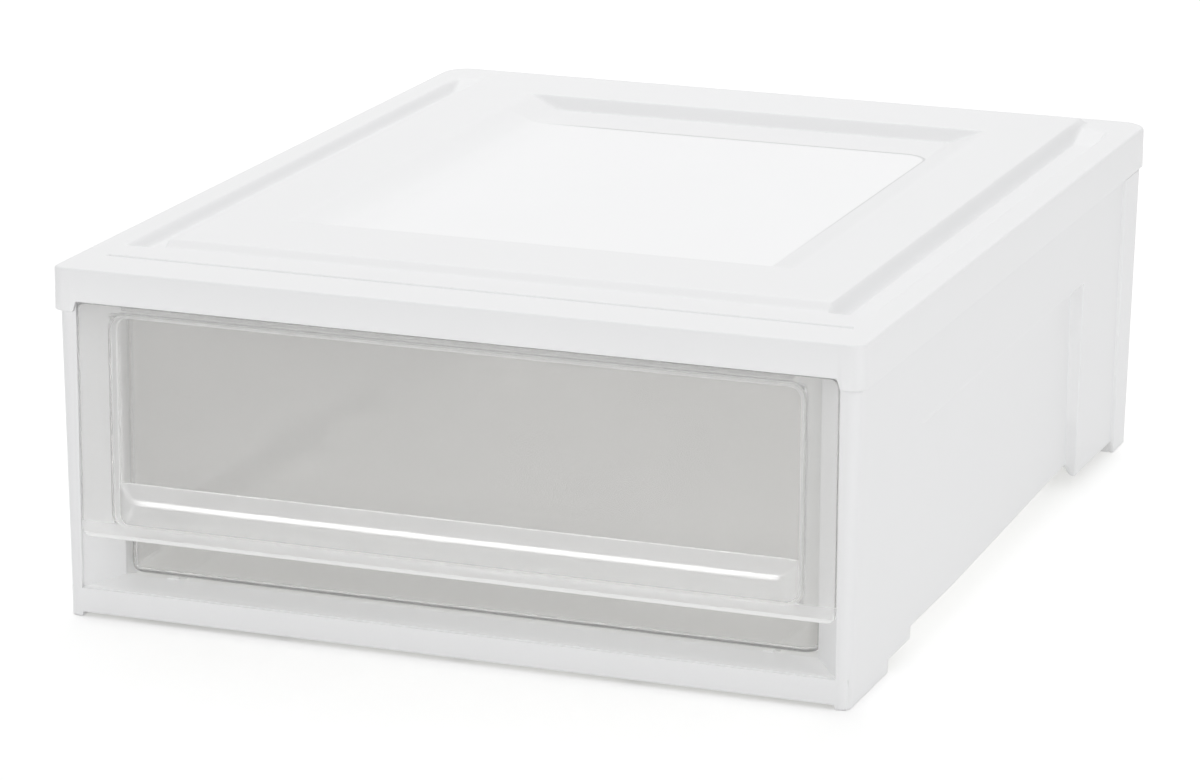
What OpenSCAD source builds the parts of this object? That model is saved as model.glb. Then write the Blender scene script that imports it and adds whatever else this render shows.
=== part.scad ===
// Stackable drawer box: a case, a top panel that clips on and one clear drawer.
// X runs along the front, Y runs to the back, Z is up.
// The origin is the middle of the footprint, on the ground.

/* [Overall size] */
// Width over the top panel
box_width = 400; // [330:1:480]
// Depth over the top panel, front to back
box_depth = 498; // [410:1:600]
// Height of the top panel's rim above the ground
box_height = 171; // [140:1:240]

/* [Walls] */
// Thickness of the case's walls and floor
case_wall = 2.4; // [1.8:0.1:3.2]
// Thickness of the top panel's sheet
lid_wall = 2.2; // [1.6:0.1:3]
// Thickness of the drawer's walls, floor and front
drawer_wall = 2.2; // [1.6:0.1:3]

/* [Top panel] */
// Height of the skirt at the posts, sides and back
skirt_height = 21; // [18:0.5:26]
// Height of the skirt over the drawer
skirt_front_height = 16; // [12:0.5:17]
// Thickness of the skirt
skirt_wall = 2; // [1.5:0.1:3]
// Radius of the two front corners
lid_front_radius = 6; // [4:0.5:12]
// Radius of the two rear corners
lid_rear_radius = 15; // [8:0.5:24]
// Width of the flat rim along each side
rim_width = 15; // [12:0.5:22]
// Width of the rim behind the raised field
rim_rear = 10; // [6:0.5:20]
// Depth of the flat strip in front of the raised field
front_strip = 54; // [44:1:70]
// Distance of the thin groove from the front edge
groove_back = 30; // [20:1:36]
// Width of the thin groove
groove_width = 1.2; // [0.6:0.1:2]
// Depth of the thin groove
groove_depth = 0.6; // [0.3:0.1:1]
// Width of the channel along each side
channel_width = 16.3; // [12:0.1:20]
// How far the channels start in front of the raised field
channel_lead = 2; // [1:0.5:5]
// Depth of the channels below the rim
channel_depth = 5.5; // [3:0.1:6.5]
// Distance from the back edge to where the channels start to rise
channel_rear = 44; // [36:1:60]
// Length of the ramp at the rear end of each channel
channel_ramp = 17; // [8:1:24]
// Height of the raised field above the rim
field_rise = 3.1; // [2:0.1:4.5]
// Run of the slope at the front and back of the raised field
field_slope = 5.5; // [3:0.1:7]
// Corner radius of the raised field
field_radius = 3; // [1:0.5:6]

/* [Tray in the top panel] */
// Width of the tray at its brim
tray_width = 256; // [160:1:290]
// Distance of the tray behind the raised field's front
tray_front = 60; // [40:1:90]
// Distance of the tray in front of the raised field's back
tray_rear = 55; // [30:1:90]
// Depth of the tray below the raised field
tray_depth = 7; // [4:0.1:9]
// Run of the gentle slope at each side of the tray
tray_side_slope = 18; // [6:1:30]
// Run of the steep slope at the tray's front and back
tray_end_slope = 4.4; // [2:0.1:10]
// Corner radius of the tray
tray_radius = 8; // [3:0.5:16]

/* [Case] */
// Gap between the skirt and the case
lid_gap = 0.2; // [0.1:0.05:0.6]
// Distance of the case's back from the top panel's back edge
back_gap = 6; // [4:0.5:12]
// How far each side leans in at the ground
side_lean = 2.8; // [0:0.1:5]
// How far the back leans in at the ground
back_lean = 5; // [0:0.1:9]
// Radius of the case's front corners
case_front_radius = 5; // [3:0.5:8]
// Radius of the case's rear corners
case_rear_radius = 12; // [6:0.5:18]
// Width of each post's front face at the top
post_width = 9.6; // [7:0.1:14]
// Height of the floor's underside above the ground
floor_height = 12; // [8:0.5:16]
// Height of the front rail's lower edge
rail_bottom = 2; // [0.5:0.5:6]
// Height of the front rail's upper edge above the floor's underside
rail_rise = 2; // [1:0.1:2.4]
// How far each rear pillar stands proud of the side
pillar_step = 1.9; // [1:0.1:2]
// Gap between the rear pillars and the skirt above
pillar_gap = 0.3; // [0.3:0.05:0.8]

/* [Side panels and feet] */
// Distance of the inset panel's front end from the front edge
inset_front = 99; // [70:1:140]
// Distance of the inset panel's rear end from the back edge
inset_rear = 114; // [80:1:150]
// Depth of the inset panel at its rear end
inset_depth = 7; // [3:0.1:9]
// Height of the inset panel's upper edge
inset_top = 109; // [80:1:115]
// Length of each front foot
foot_front = 61; // [40:1:80]
// Length of each rear foot
foot_rear = 43; // [30:1:70]
// Length of the half-height step behind each front foot
step_front = 34; // [15:1:50]
// Length of the half-height step in front of each rear foot
step_rear = 71; // [30:1:90]
// Height of the half-height steps
step_height = 6; // [3:0.5:7]
// Width of the bearing pad in each foot
pad_width = 6; // [4:0.5:7]
// Distance of each bearing pad from the outside of its foot
pad_inset = 1; // [0.5:0.1:1.5]
// Width of the rear feet, seen from behind
foot_width = 26; // [18:1:28]
// Height of the keels that fit round the raised field of the box below
keel_height = 1; // [0.5:0.5:2]
// Gap between the keels and that raised field
keel_gap = 0.8; // [0.5:0.1:1.5]

/* [Runners] */
// How far the opening narrows from each post to the runner guide
shoulder_run = 14.2; // [8:0.1:20]
// Height of the runner guides above the case's floor
guide_height = 25.6; // [12:0.1:34]
// Height of the runner ribs under the drawer
runner_height = 3; // [1.5:0.1:5]
// Width of each runner rib
runner_width = 5; // [3:0.5:10]
// Distance of each runner rib from the side of the drawer
runner_inset = 26; // [15:1:60]
// Gap under the drawer and at its stops
slide_gap = 0.3; // [0.3:0.05:0.6]
// Gap at each side of the drawer
side_gap = 0.6; // [0.4:0.05:1.2]
// Gap between the sill and the drawer above it
sill_gap = 0.7; // [0.4:0.1:1.5]
// Travel of the drawer to its stop
drawer_travel = 360; // [200:5:380]
// Gap between the drawer's rim and the fins that hold it down
fin_gap = 0.5; // [0.3:0.1:1.5]
// Distance of the fins behind the front end of the channels
fin_setback = 6; // [3:1:12]

/* [Snap hooks] */
// Number of snap hooks along each side
hook_count = 3; // [2:1:4]
// Distance between snap hooks
hook_pitch = 120; // [90:5:130]
// Length of each snap hook along the side
hook_length = 24; // [12:1:40]
// How far a hook reaches below the top panel
hook_drop = 17; // [12:0.5:20]
// How far a hook catches under its lug
hook_catch = 1; // [0.5:0.1:1.6]
// Gap between a hook and its lug
hook_gap = 0.4; // [0.3:0.1:0.8]
// Height of the nose at the end of a hook
nose_height = 3; // [2:0.1:4]
// Height of the slope under the nose
nose_slope = 2.2; // [1:0.1:2.6]
// Height of a lug
lug_height = 2.4; // [1.5:0.1:4]
// How much longer a lug is than its hook, at each end
lug_overlap = 2; // [1:0.5:3]
// Gap between a hook and the case's wall
wall_gap = 0.8; // [0.5:0.1:1.5]

/* [Drawer] */
// Gap between the drawer's front and the posts
panel_gap = 0.7; // [0.4:0.05:1.5]
// Gap between the drawer's front and the skirt above
panel_top_gap = 1; // [0.6:0.1:2]
// Height of the opening under the drawer's front
finger_gap = 26; // [18:0.5:34]
// Distance from the drawer's front face to its front wall
pull_depth = 18.5; // [14:0.5:30]
// Distance from the drawer's rear wall to the case's back at the ground
rear_space = 7; // [4:0.5:30]
// Corner radius of the drawer, seen from above
tub_radius = 8; // [4:0.5:16]
// Radius of the drawer's lower edge
tub_edge = 4; // [2:0.5:8]
// How far the stop lugs stand out from the drawer's sides
stop_reach = 2.4; // [1.5:0.1:5]
// Length of each stop lug
stop_length = 12; // [6:1:20]
// Height of each stop lug
stop_height = 6; // [4:0.5:12]
// Height of the stop lugs above the runner guides
stop_rise = 3; // [1:0.5:6]

/* [Drawer front] */
// Corner radius of the drawer's front
panel_radius = 4; // [2:0.5:8]
// Width of the frame at each side of the pane
frame_side = 17.5; // [14.5:0.5:30]
// Width of the frame above the pane
frame_top = 5.3; // [4:0.1:12]
// Width of the frame below the pane
frame_bottom = 6.6; // [4:0.1:12]
// Depth of the pane behind the frame
pane_depth = 3.5; // [1.5:0.1:4.5]
// Corner radius of the pane
pane_radius = 6; // [3:0.5:10]
// Height of the grip's crease above the pane's lower edge
grip_crease = 10.9; // [6:0.1:16]
// Height of the grip's upper edge above the pane's lower edge
grip_top = 20.9; // [12:0.1:28]
// How far the grip's crease lies behind the frame
grip_setback = 0.4; // [0.2:0.1:1]
// Run of the slope at each end of the grip
grip_end = 9; // [4:0.5:14]
// How far the grip's lower edge lies behind its crease
grip_fall = 0.8; // [0.4:0.1:1.5]

/* [Hidden] */

shell_colour = [0.93, 0.93, 0.94];
clear_colour = [0.82, 0.84, 0.87, 0.45];

round_steps = 48;
slab = 0.01;
past = 1;
least_radius = 1;
edge_share = 0.3;

// Outer planes of the top panel
half_width = box_width / 2;
front_y = -box_depth / 2;
back_y = box_depth / 2;
lid_under = box_height - lid_wall;

// Raised field, channels and tray
channel_outer = half_width - rim_width;
field_half = channel_outer - channel_width;
field_front = front_y + front_strip;
field_back = back_y - rim_rear;
field_top = box_height + field_rise;
channel_floor = box_height - channel_depth;
channel_front = field_front - channel_lead;
channel_flat_end = back_y - channel_rear;
tray_half = tray_width / 2;
tray_y0 = field_front + tray_front;
tray_y1 = field_back - tray_rear;
tray_floor = field_top - tray_depth;

// Case
body_half = half_width - skirt_wall - lid_gap;
body_front = front_y + skirt_wall + lid_gap;
body_back = back_y - back_gap;
floor_top = floor_height + case_wall;
rail_top = floor_height + rail_rise;
post_inner = body_half - post_width;
guide_half = post_inner - shoulder_run;

// Drawer
tub_half = guide_half - side_gap;
tub_bottom = floor_top + runner_height + slide_gap;
panel_front = body_front + slide_gap;
panel_back = panel_front + drawer_wall;
tub_front = panel_front + pull_depth;
tub_back = body_back - back_lean - case_wall - rear_space;
panel_half = post_inner - panel_gap;
panel_bottom = rail_top + finger_gap;
panel_top = box_height - skirt_front_height - panel_top_gap;
seat_y = panel_back + slide_gap;
guide_top = floor_top + guide_height;
sill_rear = tub_bottom - sill_gap;

// Snap hooks
nose_z = lid_under - hook_drop;
lug_x = body_half - case_wall - side_lean * (1 - nose_z / lid_under) - wall_gap - hook_catch;

// Pane and grip
pane_half = panel_half - frame_side;
pane_z0 = panel_bottom + frame_bottom;
pane_z1 = panel_top - frame_top;
pane_front = panel_front + pane_depth;
grip_front = panel_front + grip_setback;

// How far a wall leans in at height z, as a share of its whole lean
function lean(z) = 1 - z / lid_under;

// Plan with front and rear corners of different radius
module plan(half, y0, y1, front_radius, rear_radius) {
    middle = y1 - y0 - front_radius - rear_radius;
    translate([-half, y0 + front_radius]) square([2 * half, middle]);
    translate([front_radius - half, y0]) square([2 * (half - front_radius), front_radius + past]);
    translate([rear_radius - half, y1 - rear_radius - past])
        square([2 * (half - rear_radius), rear_radius + past]);
    for (side = [-1, 1]) {
        translate([side * (half - front_radius), y0 + front_radius]) circle(front_radius, $fn = round_steps);
        translate([side * (half - rear_radius), y1 - rear_radius]) circle(rear_radius, $fn = round_steps);
    }
}

// Upright plate with rounded corners: its front at y, its thickness to the back
module upright(half, z0, z1, radius, y, thickness) {
    translate([0, y + thickness, 0])
        rotate([90, 0, 0])
            linear_extrude(thickness)
                plan(half, z0, z1, radius, radius);
}

// Section drawn in Y and Z, carried along X to each side of the middle
module along_x(half, section) {
    translate([-half, 0, 0])
        rotate([90, 0, 90])
            linear_extrude(2 * half)
                polygon(section);
}

// One thin slice of the case's outline at height z
module case_slice(z, inset, widen) {
    translate([0, 0, z])
        linear_extrude(slab)
            plan(
                body_half + widen - inset - side_lean * lean(z),
                body_front + inset,
                body_back - inset - back_lean * lean(z),
                max(case_front_radius - inset, least_radius),
                max(case_rear_radius - inset, least_radius)
            );
}

// The case's leaning outline between two heights
module case_block(z0, z1, inset, widen = 0) {
    hull() {
        case_slice(z0, inset, widen);
        case_slice(z1 - slab, inset, widen);
    }
}

// Wedge that sets the side panel in, deepest at its rear end
module inset_wedge(thickness, z0, z1) {
    outer = body_half + pillar_step + past;
    face = body_half - side_lean * lean(inset_top);
    y0 = front_y + inset_front;
    y1 = back_y - inset_rear + thickness;
    translate([0, 0, z0])
        linear_extrude(z1 - z0)
            polygon([
                [outer, y0],
                [face - thickness, y0],
                [face - inset_depth - thickness, y1],
                [outer, y1]
            ]);
}

// Slanting shoulder that leads from the post to the runner guide
module shoulder() {
    linear_extrude(lid_under)
        polygon([
            [post_inner, body_front + past],
            [post_inner, seat_y],
            [guide_half, tub_front],
            [guide_half, tub_front + case_wall],
            [guide_half + case_wall, tub_front + case_wall],
            [post_inner + case_wall, seat_y + case_wall],
            [post_inner + case_wall, body_front + past]
        ]);
}

// Guide beside the drawer, with the rib that the drawer slides on
module runner() {
    translate([guide_half, tub_front, floor_height])
        cube([case_wall, tub_back - tub_front, guide_top - floor_height]);
    translate([guide_half - side_gap - runner_inset, tub_front, floor_height])
        cube([runner_width, tub_back - tub_front, case_wall + runner_height]);
}

// Lug on the inside of the case's wall that a snap hook catches under
module lug() {
    translate([lug_x, -hook_length / 2, nose_z + nose_height + hook_gap])
        cube([hook_catch + wall_gap + case_wall / 2, hook_length, lug_height]);
}

// Pad inside a foot, which gives it a flat face to stand on
module pad(y0, y1) {
    translate([body_half - side_lean - pad_inset - pad_width, y0, 0])
        cube([pad_width, y1 - y0, floor_top]);
}

// Places a child at each snap hook along one side
module at_hooks() {
    for (i = [0 : hook_count - 1])
        translate([0, (i - (hook_count - 1) / 2) * hook_pitch, 0])
            children();
}

// Places a child on the right and its mirror image on the left
module both_sides() {
    children();
    mirror([1, 0, 0]) children();
}

// Ribs under the floor, and the keels that locate the box on the one below
module underside() {
    rib_length = body_back - back_lean - body_front - case_wall;
    keel_x = field_half + keel_gap;
    keel_y = field_front - keel_gap - case_wall;
    for (x = [-0.5 : 0.5 : 0.5])
        translate([x * tub_half - case_wall / 2, body_front + case_wall / 2, step_height])
            cube([case_wall, rib_length, floor_top - step_height]);
    translate([-keel_x - case_wall, keel_y, keel_height])
        cube([2 * (keel_x + case_wall), case_wall, floor_top - keel_height]);
    both_sides()
        translate([keel_x, keel_y, keel_height])
            cube([case_wall, body_front + case_wall / 2 + rib_length - keel_y, floor_top - keel_height]);
}

// Case: floor, sides, back, posts and front rail in one shell
module case_body() {
    color(shell_colour) {
        case_shell();
        underside();
    }
}

// Shell of the case, with its runners, feet and lugs
module case_shell() {
    difference() {
        union() {
            difference() {
                union() {
                    case_block(0, lid_under, 0);
                    intersection() {
                        case_block(0, box_height - skirt_height - pillar_gap, 0, pillar_step);
                        translate([-box_width, back_y - foot_rear, -past])
                            cube([2 * box_width, box_depth, box_height]);
                    }
                }
                case_block(floor_top, lid_under + past, case_wall);
                case_block(-past, floor_height, case_wall);
                translate([-post_inner, front_y - past, rail_top])
                    cube([2 * post_inner, body_front + case_wall - front_y + 2 * past, box_height]);
            }
            both_sides() {
                intersection() {
                    inset_wedge(case_wall, floor_height, inset_top + case_wall);
                    case_block(floor_height, inset_top + 2 * case_wall, case_wall / 2);
                }
                difference() {
                    shoulder();
                    translate([-past, front_y, -past])
                        cube([half_width, box_depth, floor_height + past]);
                }
                runner();
                at_hooks() lug();
                pad(body_front + case_wall / 2, front_y + foot_front);
                pad(back_y - foot_rear, body_back - back_lean - case_rear_radius / 2);
            }
            along_x(post_inner + case_wall / 2, [
                [body_front, floor_height],
                [tub_front + case_wall, floor_height],
                [tub_front + case_wall, sill_rear - case_wall],
                [tub_front, sill_rear],
                [body_front, rail_top]
            ]);
        }
        both_sides() inset_wedge(0, -past, inset_top);
        translate([-box_width, front_y + foot_front, -past])
            cube([2 * box_width, box_depth - foot_front - foot_rear, step_height + past]);
        translate([-box_width, front_y + foot_front + step_front, -past])
            cube([
                2 * box_width,
                box_depth - foot_front - step_front - step_rear - foot_rear,
                floor_height + past
            ]);
        translate([-post_inner, front_y, -past])
            cube([2 * post_inner, foot_front + past, rail_bottom + past]);
        translate([foot_width - half_width, back_y - foot_rear - past, -past])
            cube([box_width - 2 * foot_width, foot_rear + past, step_height + past]);
    }
}

// Raised field, with its front and back sloped: drop lowers it to give its underside
module field_block(drop) {
    inner = drop == 0 ? 0 : lid_wall;
    sunk = lid_wall / 2;
    spread = field_slope * sunk / field_rise - inner;
    hull() {
        translate([0, 0, box_height - drop - sunk])
            linear_extrude(slab)
                plan(field_half - inner, field_front - spread, field_back + spread, field_radius, field_radius);
        translate([0, 0, field_top - drop - slab])
            linear_extrude(slab)
                plan(
                    field_half - inner,
                    field_front + field_slope + inner,
                    field_back - field_slope - inner,
                    field_radius,
                    field_radius
                );
    }
}

// Tray sunk into the raised field: grow and drop give the sheet below it
module tray_block(grow, drop) {
    hull() {
        translate([0, 0, tray_floor - drop])
            linear_extrude(slab)
                plan(
                    tray_half - tray_side_slope + grow,
                    tray_y0 + tray_end_slope - grow,
                    tray_y1 - tray_end_slope + grow,
                    tray_radius,
                    tray_radius
                );
        translate([0, 0, field_top - (drop == 0 ? 0 : 2 * slab)])
            linear_extrude(slab)
                plan(tray_half + grow, tray_y0 - grow, tray_y1 + grow, tray_radius, tray_radius);
    }
}

// Section of a channel in Y and Z, grown by a thickness for the sheet round it
function channel_section(grow, high) = [
    [channel_front - grow, high],
    [channel_front - grow, channel_floor - grow],
    [channel_flat_end + grow / 2, channel_floor - grow],
    [channel_flat_end + channel_ramp + grow / 2, box_height - grow],
    [channel_flat_end + channel_ramp + grow / 2, high]
];

// One channel or the sheet round it, on the right side
module channel(grow, high) {
    translate([channel_outer - channel_width / 2, 0, 0])
        along_x(channel_width / 2 + grow, channel_section(grow, high));
}

// Snap hook inside the case's wall, its nose under the lug
module hook() {
    half = hook_length / 2 - lug_overlap;
    reach = lid_wall + hook_gap + hook_catch;
    translate([lug_x - hook_gap - lid_wall, -half, nose_z])
        cube([lid_wall, 2 * half, hook_drop + lid_wall / 2]);
    translate([lug_x - hook_gap - lid_wall, half, nose_z])
        rotate([90, 0, 0])
            linear_extrude(2 * half)
                polygon([
                    [0, 0],
                    [lid_wall, 0],
                    [reach, nose_slope],
                    [reach, nose_height],
                    [0, nose_height]
                ]);
}

// Fin under each channel that keeps the open drawer from tipping
module fin() {
    z0 = panel_top + fin_gap;
    translate([tub_half - drawer_wall, channel_front + fin_setback, z0])
        cube([drawer_wall, box_depth / 2, channel_floor - lid_wall / 2 - z0]);
}

// Top panel: rim, skirt, channels, raised field and tray in one sheet
module top_panel() {
    color(shell_colour)
    difference() {
        union() {
            difference() {
                translate([0, 0, box_height - skirt_height])
                    linear_extrude(skirt_height)
                        plan(half_width, front_y, back_y, lid_front_radius, lid_rear_radius);
                translate([0, 0, box_height - skirt_height - past])
                    linear_extrude(skirt_height + past - lid_wall)
                        plan(
                            half_width - skirt_wall,
                            front_y + skirt_wall,
                            back_y - skirt_wall,
                            lid_front_radius - skirt_wall,
                            lid_rear_radius - skirt_wall
                        );
                translate([-post_inner, front_y - past, box_height - skirt_height - past])
                    cube([2 * post_inner, 2 * past + skirt_wall, skirt_height - skirt_front_height + past]);
            }
            field_block(0);
            tray_block(lid_wall, lid_wall);
            both_sides() {
                channel(lid_wall, box_height - lid_wall / 2);
                at_hooks() hook();
                fin();
            }
        }
        difference() {
            field_block(lid_wall);
            tray_block(lid_wall, lid_wall);
            both_sides() channel(lid_wall, field_top);
        }
        tray_block(0, 0);
        both_sides() channel(0, field_top + past);
        translate([-channel_outer, front_y + groove_back, box_height - groove_depth])
            cube([2 * channel_outer, groove_width, past]);
    }
}

// Drawer's inside or outside shape, with its lower edge eased
module tub_block(inset, high) {
    z0 = tub_bottom + inset;
    edge = max(tub_edge - inset, least_radius);
    eased = edge * edge_share;
    hull() {
        translate([0, 0, z0])
            linear_extrude(slab)
                plan(
                    tub_half - inset - edge,
                    tub_front + inset + edge,
                    tub_back - inset - edge,
                    tub_radius - tub_edge,
                    tub_radius - tub_edge
                );
        translate([0, 0, z0 + eased])
            linear_extrude(slab)
                plan(
                    tub_half - inset - eased,
                    tub_front + inset + eased,
                    tub_back - inset - eased,
                    tub_radius - inset,
                    tub_radius - inset
                );
        translate([0, 0, z0 + edge])
            linear_extrude(high - z0 - edge)
                plan(tub_half - inset, tub_front + inset, tub_back - inset, tub_radius - inset, tub_radius - inset);
    }
}

// Grip: a ridge across the pane, its face offset by grow behind the outside
module grip(grow) {
    half = pane_half - grow;
    z0 = pane_z0 + grow;
    z1 = pane_z0 + grip_top - grow / 2;
    crease = pane_z0 + grip_crease;
    front = grip_front + grow;
    rear = pane_front + (grow > 0 ? drawer_wall + past : drawer_wall / 2);
    hull() {
        translate([-half, pane_front + grow, z0]) cube([2 * half, rear - pane_front - grow, z1 - z0]);
        translate([grip_end - half, front, crease]) cube([2 * (half - grip_end), slab, slab]);
        translate([grip_end / 2 - half, front + grip_fall, z0]) cube([2 * half - grip_end, slab, slab]);
    }
}

// Front of the drawer: frame, sunken pane and grip
module drawer_front() {
    difference() {
        union() {
            difference() {
                union() {
                    upright(panel_half, panel_bottom, panel_top, panel_radius, panel_front, drawer_wall);
                    upright(
                        pane_half + drawer_wall,
                        pane_z0 - drawer_wall,
                        pane_z1 + drawer_wall,
                        pane_radius + drawer_wall,
                        panel_front + drawer_wall / 2,
                        pane_depth + drawer_wall / 2
                    );
                }
                upright(pane_half, pane_z0, pane_z1, pane_radius, panel_front - past, pane_depth + past);
            }
            intersection() {
                grip(0);
                upright(pane_half, pane_z0, pane_z1, pane_radius, panel_front - past, pane_depth + drawer_wall);
            }
        }
        grip(drawer_wall);
    }
}

// Drawer: tub, front and the stop lugs on its sides
module drawer() {
    color(clear_colour) {
        difference() {
            tub_block(0, panel_top);
            tub_block(drawer_wall, panel_top + past);
        }
        drawer_front();
        translate([-tub_half + tub_radius, panel_front + drawer_wall / 2, panel_top - drawer_wall])
            cube([2 * (tub_half - tub_radius), pull_depth, drawer_wall]);
        both_sides()
            translate([
                tub_half - drawer_wall / 2,
                tub_front + case_wall + slide_gap + drawer_travel,
                guide_top + stop_rise
            ])
                cube([drawer_wall / 2 + stop_reach, stop_length, stop_height]);
    }
}

case_body();
top_panel();
drawer();
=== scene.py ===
import math

import bpy
import numpy as np
from mathutils import Matrix, Vector


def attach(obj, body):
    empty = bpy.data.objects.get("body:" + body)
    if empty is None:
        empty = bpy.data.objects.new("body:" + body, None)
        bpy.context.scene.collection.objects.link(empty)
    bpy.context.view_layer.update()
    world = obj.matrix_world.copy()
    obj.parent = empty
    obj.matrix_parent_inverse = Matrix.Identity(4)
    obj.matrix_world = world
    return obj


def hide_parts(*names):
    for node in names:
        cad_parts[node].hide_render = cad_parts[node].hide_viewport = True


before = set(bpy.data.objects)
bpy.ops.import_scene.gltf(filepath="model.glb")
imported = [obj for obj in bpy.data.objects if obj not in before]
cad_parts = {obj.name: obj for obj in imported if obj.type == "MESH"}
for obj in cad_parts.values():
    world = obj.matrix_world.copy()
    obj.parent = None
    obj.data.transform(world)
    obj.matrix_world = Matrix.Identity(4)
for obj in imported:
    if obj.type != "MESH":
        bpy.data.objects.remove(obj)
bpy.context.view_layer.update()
print("frame loaded:", sorted(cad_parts))

mm = 0.001  # sizes are given in millimetres, the meshes are in metres
stepRun = 0.6  # how long the short ramps are that stand for moulded steps


def stations(start, *spans):
    # positions from start: each span is (end, how many steps to it), evenly spaced
    parts = [np.array([start], float)]
    for end, steps in spans:
        parts.append(np.linspace(parts[-1][-1], end, steps + 1)[1:])
    return np.concatenate(parts)


def quarterArc(count):
    # angles from 0 to a right angle, evenly spaced
    return np.linspace(0, math.pi / 2, count)


def fade(t, start, end):
    # 0 up to start, 1 from end on, straight between
    return np.clip((t - start) / (end - start), 0, 1)


def stretched(t, kept, end, moved):
    # positions past kept are scaled about it, so that end comes to lie at moved
    return np.where(t > kept, kept + (t - kept) * (moved - kept) / (end - kept), t)


def easedRamp(t, run, ease):
    # 0 before the ramp and 1 after it, straight between, with a parabola of half-length ease at each end
    def bent(u):
        return np.where(u > ease, u, (np.clip(u, -ease, ease) + ease) ** 2 / (4 * ease))
    return (bent(t) - bent(t - run)) / run


def softStep(t, at, ease):
    # an eased ramp one step long, centred at a place
    return easedRamp(t - at + stepRun / 2, stepRun, ease)


def higher(a, b, spread):
    # the higher of two values, rounded where they cross: half of their sum plus half of a softened gap, which
    # is the root of the gap squared plus spread
    return 0.5 * (a + b + np.sqrt((a - b) ** 2 + spread))


def lower(a, b, spread):
    # the lower of two values, rounded the same way
    return 0.5 * (a + b - np.sqrt((a - b) ** 2 + spread))


def numbered(rows, columns, first=0):
    # point numbers of a grid that is stored row by row
    return np.arange(rows * columns).reshape(rows, columns) + first


def wrapped(index, axis):
    # point numbers of a grid with the first row or column again at the end, which closes it
    return np.concatenate([index, index.take([0], axis)], axis)


def rimOf(index):
    # point numbers round the edge of a grid: front, right, back, left
    return np.concatenate([index[0], index[1:, -1], index[-1, -2::-1], index[-2:0:-1, 0]])


def gridQuads(index, flip=False):
    # quads between neighbouring points of a grid
    corners = [index[:-1, :-1], index[:-1, 1:], index[1:, 1:], index[1:, :-1]]
    quads = np.stack(corners, -1).reshape(-1, 4)
    return quads[:, ::-1] if flip else quads


def ringQuads(ring, following):
    # quads between two closed rings of the same length
    return np.stack([ring, following, np.roll(following, -1), np.roll(ring, -1)], -1)


def closedSkin(near, far, rings):
    # two grids of points, the second seen from behind, joined round their edges by rings of points
    index = numbered(*near.shape[:2])
    points, faces, ring = [near.reshape(-1, 3)], [gridQuads(index)], rimOf(index)
    count = len(points[0])
    for ringPoints in rings:
        following = np.arange(len(ringPoints)) + count
        points.append(ringPoints)
        faces.append(ringQuads(ring, following))
        ring, count = following, count + len(ringPoints)
    index = numbered(*far.shape[:2], count)
    points.append(far.reshape(-1, 3))
    faces += [ringQuads(ring, rimOf(index)), gridQuads(index, flip=True)]
    return np.concatenate(points), np.concatenate(faces)


def prism(section, start, end):
    # a section of (x, z) points, counter-clockwise seen from the front, carried along Y
    x, z = np.array(section).T
    near = np.column_stack([x, np.full(len(x), start), z])
    loop = np.arange(len(x))
    faces = [loop.tolist(), (loop[::-1] + len(x)).tolist(), *ringQuads(loop, loop + len(x)).tolist()]
    return np.concatenate([near, near + [0, end - start, 0]]), faces


def bar(x0, x1, y0, y1, z0, z1, ease=0.3):
    # a bar along Y with its long edges cut off at a slant
    section = [
        (x0 + ease, z0), (x1 - ease, z0), (x1, z0 + ease), (x1, z1 - ease),
        (x1 - ease, z1), (x0 + ease, z1), (x0, z1 - ease), (x0, z0 + ease),
    ]
    return prism(section, y0, y1)


def plate(outline, bottom, top):
    # a flat outline of (x, y) points, counter-clockwise from above, raised from bottom to top
    count = len(outline)
    low = np.column_stack([outline, np.full(count, bottom)])
    loop = np.arange(count)
    following = np.roll(loop, -1)
    faces = [loop[::-1].tolist(), (loop + count).tolist()]
    faces += np.stack([loop, following, following + count, loop + count], -1).tolist()
    return np.concatenate([low, low + [0, 0, top - bottom]]), faces


def joinShapes(shapes):
    # several (points, faces, smooth) as one list of points, faces and smooth flags
    points, faces, flags, count = [], [], [], 0
    for shapePoints, shapeFaces, smooth in shapes:
        points.append(shapePoints)
        faces += [[int(i) + count for i in face] for face in shapeFaces]
        flags += [smooth] * len(shapeFaces)
        count += len(shapePoints)
    return np.concatenate(points), faces, flags


def makePiece(name, points, faces, smooth, material, body, slot):
    # points in millimetres become a mesh at the origin that rides on a body
    mesh = bpy.data.meshes.new(name)
    mesh.from_pydata((points * mm).tolist(), [], faces)
    mesh.polygons.foreach_set("use_smooth", smooth)
    mesh.materials.append(material)
    mesh.update()
    piece = bpy.data.objects.new(name, mesh)
    bpy.context.scene.collection.objects.link(piece)
    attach(piece, body)
    return piece


def nodeMaker(tree):
    # a short way to add a node with its settings, input values and links
    def add(kind, inputs=None, **settings):
        node = tree.nodes.new(kind)
        for key, value in settings.items():
            setattr(node, key, value)
        for key, value in (inputs or {}).items():
            if isinstance(value, bpy.types.NodeSocket):
                tree.links.new(value, node.inputs[key])
            else:
                node.inputs[key].default_value = value
        return node
    return add


def compute(add, operation, *values, clamp=False):
    # the result of a math node on numbers or sockets
    inputs = dict(enumerate(values))
    return add("ShaderNodeMath", inputs, operation=operation, use_clamp=clamp).outputs[0]


def scaledColour(add, colour, share):
    # a colour times a number
    return add("ShaderNodeVectorMath", {0: colour, "Scale": share}, operation="SCALE").outputs[0]


def newMaterial(name):
    material = bpy.data.materials.new(name)
    material.use_nodes = True
    material.node_tree.nodes.clear()
    return material, nodeMaker(material.node_tree)


grainLook = dict(pits=(3.0, 0.65), waves=(2.0, 0.4), clouds=(4.0, 0.55), cloudScale=9.0, roughSpread=0.12)


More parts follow.
